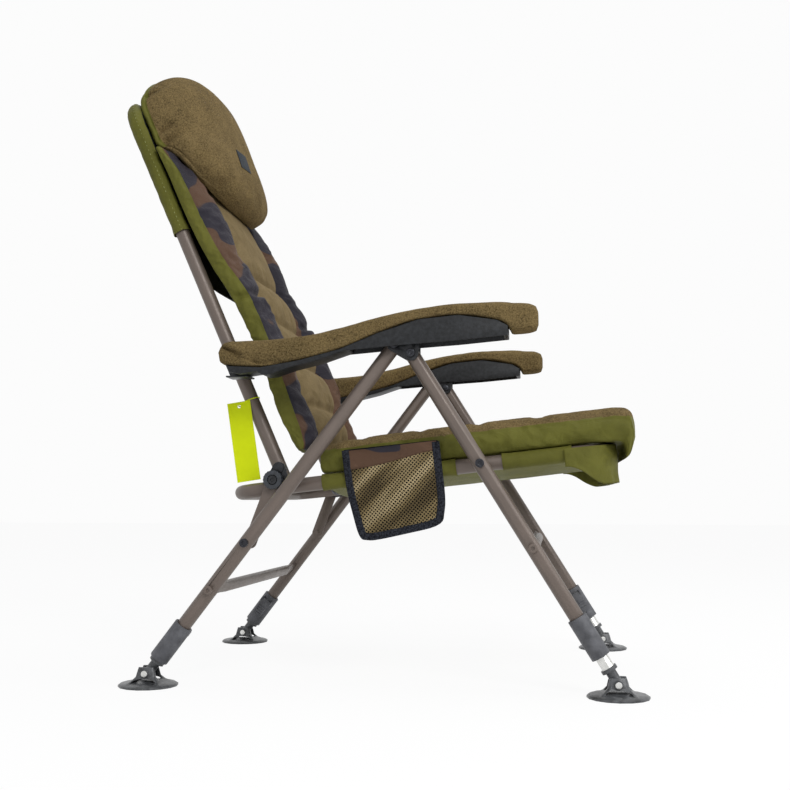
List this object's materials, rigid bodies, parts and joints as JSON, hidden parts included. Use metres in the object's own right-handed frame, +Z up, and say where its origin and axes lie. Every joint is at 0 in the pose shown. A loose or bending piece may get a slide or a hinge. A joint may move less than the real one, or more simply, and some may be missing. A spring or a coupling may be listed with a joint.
{
  "type": "folding fishing chair",
  "caption": "Folding reclining-style carp fishing chair: tube frame, padded seat and back, head pillow, armrests, telescopic legs on mud feet, net side pocket.",
  "frame": {"origin": "bottom centre of the bounding box, on the floor midway across the chair", "axes": "+X is the way the sitter faces, +Y is to the sitter's left, +Z is up"},
  "size_m": [0.9332, 0.678, 1.14],
  "materials": {
    "tube": "satin grey-taupe powder coat",
    "plate": "black coated steel",
    "bolt": "blackened steel with bright edges",
    "plastic": "fine moulded grain",
    "bright": "bright drawn tube",
    "olive": "woven nylon",
    "fleece": "short pile fleece",
    "suede": "brushed suede cloth",
    "backing": "plain black weave",
    "netting": "tan netting with a dark bound hem",
    "card": "plain lime-yellow card"
  },
  "bodies": {
    "seat": {"seat_frame": "tube", "seat_sling": "olive", "seat_cushion": "fleece", "front_valance": "olive", "hinge_plate_right": "plate", "hinge_plate_left": "plate", "pivot_bolt_right": "bolt", "pivot_bolt_left": "bolt", "leg_bolt_right": "bolt", "leg_bolt_left": "bolt", "side_pocket": "netting"},
    "back": {"back_frame": "tube", "back_sleeve": "olive", "back_panel": "backing", "back_cushion": "suede", "head_pillow": "fleece", "hang_tag": "card"},
    "front_legs": {"leg_front_right": "tube", "leg_front_left": "tube", "lock_sleeve_front_right": "plastic", "lock_sleeve_front_left": "plastic", "stretcher_front": "tube"},
    "rear_legs": {"leg_rear_right": "tube", "leg_rear_left": "tube", "lock_sleeve_rear_right": "plastic", "lock_sleeve_rear_left": "plastic", "stretcher_rear": "tube"},
    "armrest_right": {"armrest_pad_right": "fleece", "armrest_shell_right": "plastic", "armrest_bracket_right": "plate", "armrest_lug_right": "plate", "armrest_bolt_front_right": "bolt", "armrest_bolt_rear_right": "bolt"},
    "armrest_left": {"armrest_pad_left": "fleece", "armrest_shell_left": "plastic", "armrest_bracket_left": "plate", "armrest_lug_left": "plate", "armrest_bolt_front_left": "bolt", "armrest_bolt_rear_left": "bolt"},
    "stay_right": {"stay_right": "plate"},
    "stay_left": {"stay_left": "plate"},
    "clamp_knob_right": {"clamp_knob_right": "plastic"},
    "clamp_knob_left": {"clamp_knob_left": "plastic"},
    "extension_front_right": {"inner_leg_front_right": "bright"},
    "foot_front_right": {"mud_foot_front_right": "plastic", "foot_pin_front_right": "bright"},
    "lever_front_right": {"lock_lever_front_right": "plastic"},
    "extension_front_left": {"inner_leg_front_left": "bright"},
    "foot_front_left": {"mud_foot_front_left": "plastic", "foot_pin_front_left": "bright"},
    "lever_front_left": {"lock_lever_front_left": "plastic"},
    "extension_rear_right": {"inner_leg_rear_right": "bright"},
    "foot_rear_right": {"mud_foot_rear_right": "plastic", "foot_pin_rear_right": "bright"},
    "lever_rear_right": {"lock_lever_rear_right": "plastic"},
    "extension_rear_left": {"inner_leg_rear_left": "bright"},
    "foot_rear_left": {"mud_foot_rear_left": "plastic", "foot_pin_rear_left": "bright"},
    "lever_rear_left": {"lock_lever_rear_left": "plastic"}
  },
  "joints": [
    {"name": "back_fold", "type": "hinge", "parent": "seat", "child": "back", "pos_m": [-0.14189, 0, 0.33456], "axis": [0, 1, 0], "range_deg": [0, 78], "deforming": ["seat_cushion", "back_cushion", "hang_tag", "side_pocket"]},
    {"name": "front_leg_fold", "type": "hinge", "parent": "seat", "child": "front_legs", "pos_m": [0.20053, 0, 0.37236], "axis": [0, 1, 0], "range_deg": [0, 85]},
    {"name": "armrest_fold_right", "type": "hinge", "parent": "front_legs", "child": "armrest_right", "pos_m": [0.0871, -0.289, 0.5563], "axis": [0, 1, 0], "range_deg": [-90, 0]},
    {"name": "armrest_fold_left", "type": "hinge", "parent": "front_legs", "child": "armrest_left", "pos_m": [0.0871, 0.289, 0.5563], "axis": [0, 1, 0], "range_deg": [-90, 0]},
    {"name": "rear_leg_fold", "type": "hinge", "parent": "armrest_right", "child": "rear_legs", "pos_m": [0.0588, 0, 0.572], "axis": [0, 1, 0], "range_deg": [0, 35]},
    {"name": "stay_fold_right", "type": "hinge", "parent": "seat", "child": "stay_right", "pos_m": [-0.15589, -0.262, 0.34656], "axis": [0, 1, 0], "range_deg": [-118, 0]},
    {"name": "stay_fold_left", "type": "hinge", "parent": "seat", "child": "stay_left", "pos_m": [-0.15589, 0.262, 0.34656], "axis": [0, 1, 0], "range_deg": [-118, 0]},
    {"name": "clamp_turn_right", "type": "hinge", "parent": "seat", "child": "clamp_knob_right", "pos_m": [-0.15589, -0.27, 0.34656], "axis": [0, 1, 0], "continuous": true},
    {"name": "clamp_turn_left", "type": "hinge", "parent": "seat", "child": "clamp_knob_left", "pos_m": [-0.15589, 0.27, 0.34656], "axis": [0, 1, 0], "continuous": true},
    {"name": "leg_extend_front_right", "type": "slide", "parent": "front_legs", "child": "extension_front_right", "axis": [0.5249, 0, -0.8512], "range_m": [0, 0.08]},
    {"name": "foot_tilt_front_right", "type": "hinge", "parent": "extension_front_right", "child": "foot_front_right", "pos_m": [0.4166, -0.289, 0.022], "axis": [0, 1, 0], "range_deg": [-82, 18]},
    {"name": "lever_lift_front_right", "type": "hinge", "parent": "front_legs", "child": "lever_front_right", "pos_m": [0.36028, -0.2688, 0.11333], "axis": [0.8512, 0, 0.5249], "range_deg": [0, 35], "stiffness_Nm_per_rad": 0.4},
    {"name": "leg_extend_front_left", "type": "slide", "parent": "front_legs", "child": "extension_front_left", "axis": [0.5249, 0, -0.8512], "range_m": [0, 0.08]},
    {"name": "foot_tilt_front_left", "type": "hinge", "parent": "extension_front_left", "child": "foot_front_left", "pos_m": [0.4166, 0.289, 0.022], "axis": [0, 1, 0], "range_deg": [-82, 18]},
    {"name": "lever_lift_front_left", "type": "hinge", "parent": "front_legs", "child": "lever_front_left", "pos_m": [0.36028, 0.2688, 0.11333], "axis": [-0.8512, 0, -0.5249], "range_deg": [0, 35], "stiffness_Nm_per_rad": 0.4},
    {"name": "leg_extend_rear_right", "type": "slide", "parent": "rear_legs", "child": "extension_rear_right", "axis": [-0.6089, 0, -0.7932], "range_m": [0, 0.1]},
    {"name": "foot_tilt_rear_right", "type": "hinge", "parent": "extension_rear_right", "child": "foot_rear_right", "pos_m": [-0.3634, -0.289, 0.022], "axis": [0, 1, 0], "range_deg": [-12, 88]},
    {"name": "lever_lift_rear_right", "type": "hinge", "parent": "rear_legs", "child": "lever_rear_right", "pos_m": [-0.31024, -0.2688, 0.09125], "axis": [0.7932, 0, -0.6089], "range_deg": [0, 35], "stiffness_Nm_per_rad": 0.4},
    {"name": "leg_extend_rear_left", "type": "slide", "parent": "rear_legs", "child": "extension_rear_left", "axis": [-0.6089, 0, -0.7932], "range_m": [0, 0.1]},
    {"name": "foot_tilt_rear_left", "type": "hinge", "parent": "extension_rear_left", "child": "foot_rear_left", "pos_m": [-0.3634, 0.289, 0.022], "axis": [0, 1, 0], "range_deg": [-12, 88]},
    {"name": "lever_lift_rear_left", "type": "hinge", "parent": "rear_legs", "child": "lever_rear_left", "pos_m": [-0.31024, 0.2688, 0.09125], "axis": [-0.7932, 0, 0.6089], "range_deg": [0, 35], "stiffness_Nm_per_rad": 0.4}
  ],
  "couplings": [
    {"joint": "front_leg_fold", "follows": "back_fold", "ratio": 1.0862},
    {"joint": "armrest_fold_right", "follows": "back_fold", "ratio": -1.1451},
    {"joint": "armrest_fold_left", "follows": "back_fold", "ratio": -1.1451},
    {"joint": "rear_leg_fold", "follows": "back_fold", "ratio": 0.4184},
    {"joint": "stay_fold_right", "follows": "back_fold", "ratio": -1.4888},
    {"joint": "stay_fold_left", "follows": "back_fold", "ratio": -1.4888}
  ]
}
